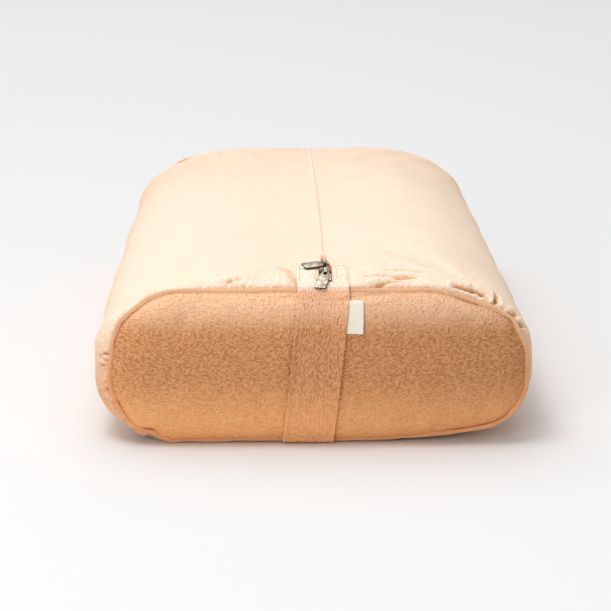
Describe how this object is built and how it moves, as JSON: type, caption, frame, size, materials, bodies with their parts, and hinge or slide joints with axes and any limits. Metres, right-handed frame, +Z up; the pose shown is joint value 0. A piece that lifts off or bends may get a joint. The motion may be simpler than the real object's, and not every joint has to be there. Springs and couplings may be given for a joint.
{
  "type": "yoga bolster",
  "caption": "Rectangular yoga bolster: a fibre-filled cushion in a zipped cotton cover with rounded ends, raised end seams, carry straps and sliding zip pulls.",
  "frame": {"origin": "on the floor under the middle of the bolster", "axes": "+X across the bolster to the right as seen from the front end, +Y along it from the front end to the rear end, +Z up"},
  "size_m": [0.312, 0.6248, 0.1278],
  "materials": {
    "cover_cotton": "peach slub cotton, matt",
    "welt_cotton": "the cover's cotton folded over the seam",
    "strap_cotton": "the cover's cotton folded and pressed flat",
    "sewing_thread": "spun polyester thread",
    "woven_label": "bare woven tape, off white",
    "zip_tape": "woven polyester tape",
    "nylon_coil": "dyed nylon monofilament",
    "antique_nickel": "cast and plated, antique nickel",
    "inner_calico": "unbleached calico",
    "cotton_fibre": "loose cotton fibre"
  },
  "bodies": {
    "cover": {"cover_body_panel": "cover_cotton", "cover_front_panel": "cover_cotton", "cover_rear_panel": "cover_cotton", "front_seam_welt": "welt_cotton", "rear_seam_welt": "welt_cotton", "front_carry_strap": "strap_cotton", "rear_carry_strap": "strap_cotton", "front_strap_top_stitching": "sewing_thread", "front_strap_bottom_stitching": "sewing_thread", "rear_strap_top_stitching": "sewing_thread", "rear_strap_bottom_stitching": "sewing_thread", "side_label": "woven_label", "zip_tape_left": "zip_tape", "zip_tape_right": "zip_tape", "zip_coil_left": "nylon_coil", "zip_coil_right": "nylon_coil", "zip_front_stop": "antique_nickel", "zip_rear_stop": "antique_nickel", "inner_bag_sleeve": "inner_calico", "inner_bag_front_panel": "inner_calico", "inner_bag_rear_panel": "inner_calico", "fibre_filling": "cotton_fibre"},
    "rear_slider": {"rear_slider": "antique_nickel"},
    "rear_pull": {"rear_pull_tab": "antique_nickel"},
    "front_slider": {"front_slider": "antique_nickel"},
    "front_pull": {"front_pull_tab": "antique_nickel"}
  },
  "joints": [
    {"name": "rear_slider_slide", "type": "slide", "parent": "cover", "child": "rear_slider", "axis": [0, 1, 0], "range_m": [0, 0.543]},
    {"name": "rear_pull_swivel", "type": "hinge", "parent": "rear_slider", "child": "rear_pull", "pos_m": [0.008, -0.2684, 0.12575], "axis": [0, 0, 1], "range_deg": [-118, 0]},
    {"name": "front_slider_slide", "type": "slide", "parent": "cover", "child": "front_slider", "axis": [0, 0.9466, 0.3224], "range_m": [0, 0.0015]},
    {"name": "front_pull_lift", "type": "hinge", "parent": "front_slider", "child": "front_pull", "pos_m": [0.008, -0.28804, 0.12291], "axis": [-1, 0, 0], "range_deg": [0, 95]}
  ]
}
